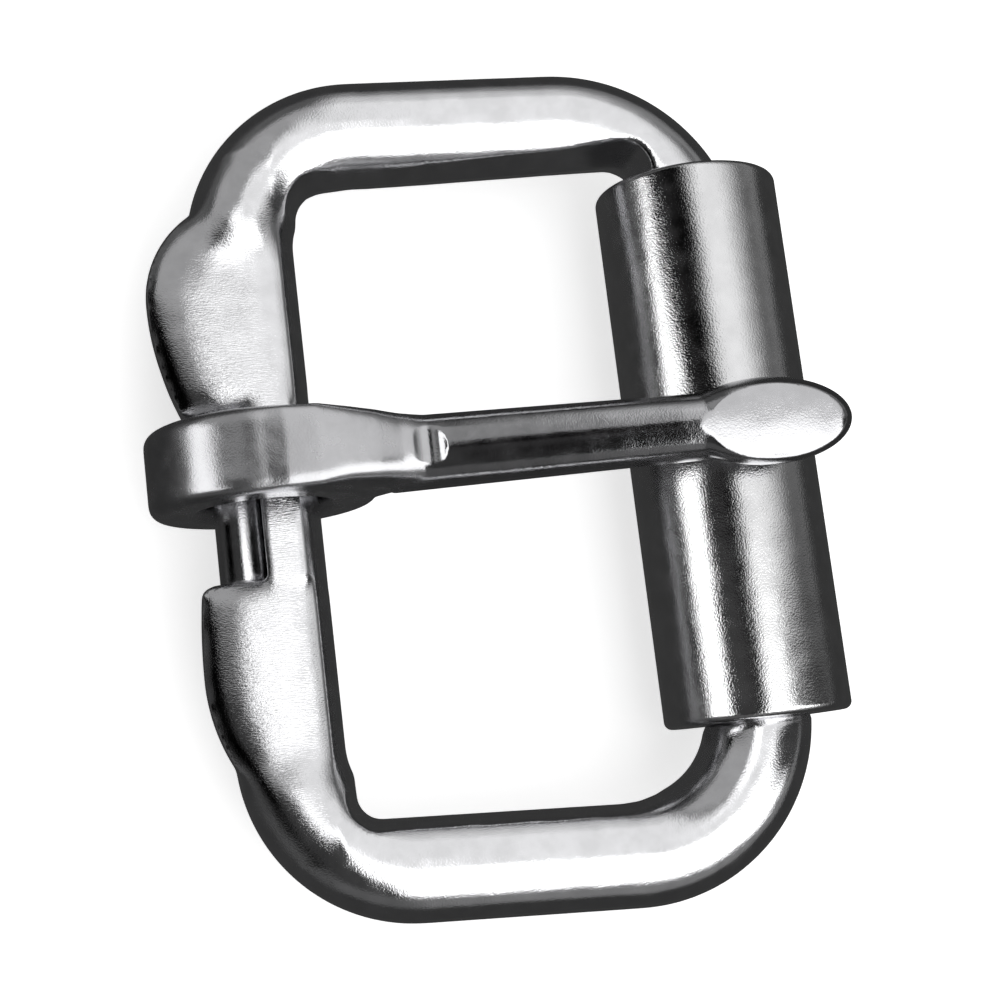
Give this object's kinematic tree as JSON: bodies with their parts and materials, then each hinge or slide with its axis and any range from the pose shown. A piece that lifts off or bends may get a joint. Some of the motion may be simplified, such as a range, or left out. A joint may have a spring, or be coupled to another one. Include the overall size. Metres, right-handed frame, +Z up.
{
  "type": "roller buckle",
  "caption": "Cast steel frame buckle whose tongue swings on a heel pin and rests on a tube that rolls on the far bar.",
  "frame": {"origin": "bottom centre of the buckle's bounding box as it lies on its back with the tongue on the roller", "axes": "+X runs along the tongue from the heel bars to the roller, +Y along the bars, +Z up out of the frame's front"},
  "size_m": [0.0422, 0.0538, 0.0154],
  "materials": {
    "frame_steel": "cast stainless steel, bright polished, with linished faces on the heel lobes",
    "pin_steel": "drawn stainless rod, polished",
    "tongue_steel": "cast stainless steel, polished, with satin ground flats",
    "roller_steel": "turned stainless tube, satin polished"
  },
  "bodies": {
    "frame": {"frame": "frame_steel", "hinge_pin": "pin_steel"},
    "tongue": {"tongue": "tongue_steel"},
    "roller": {"roller": "roller_steel"}
  },
  "joints": [
    {"name": "tongue_hinge", "type": "hinge", "parent": "frame", "child": "tongue", "pos_m": [-0.0141, 0.00215, 0.007], "axis": [0, -1, 0], "range_deg": [0, 175]},
    {"name": "roller_spin", "type": "hinge", "parent": "frame", "child": "roller", "pos_m": [0.0149, 0.0008, 0.00585], "axis": [0, 1, 0], "continuous": true}
  ]
}
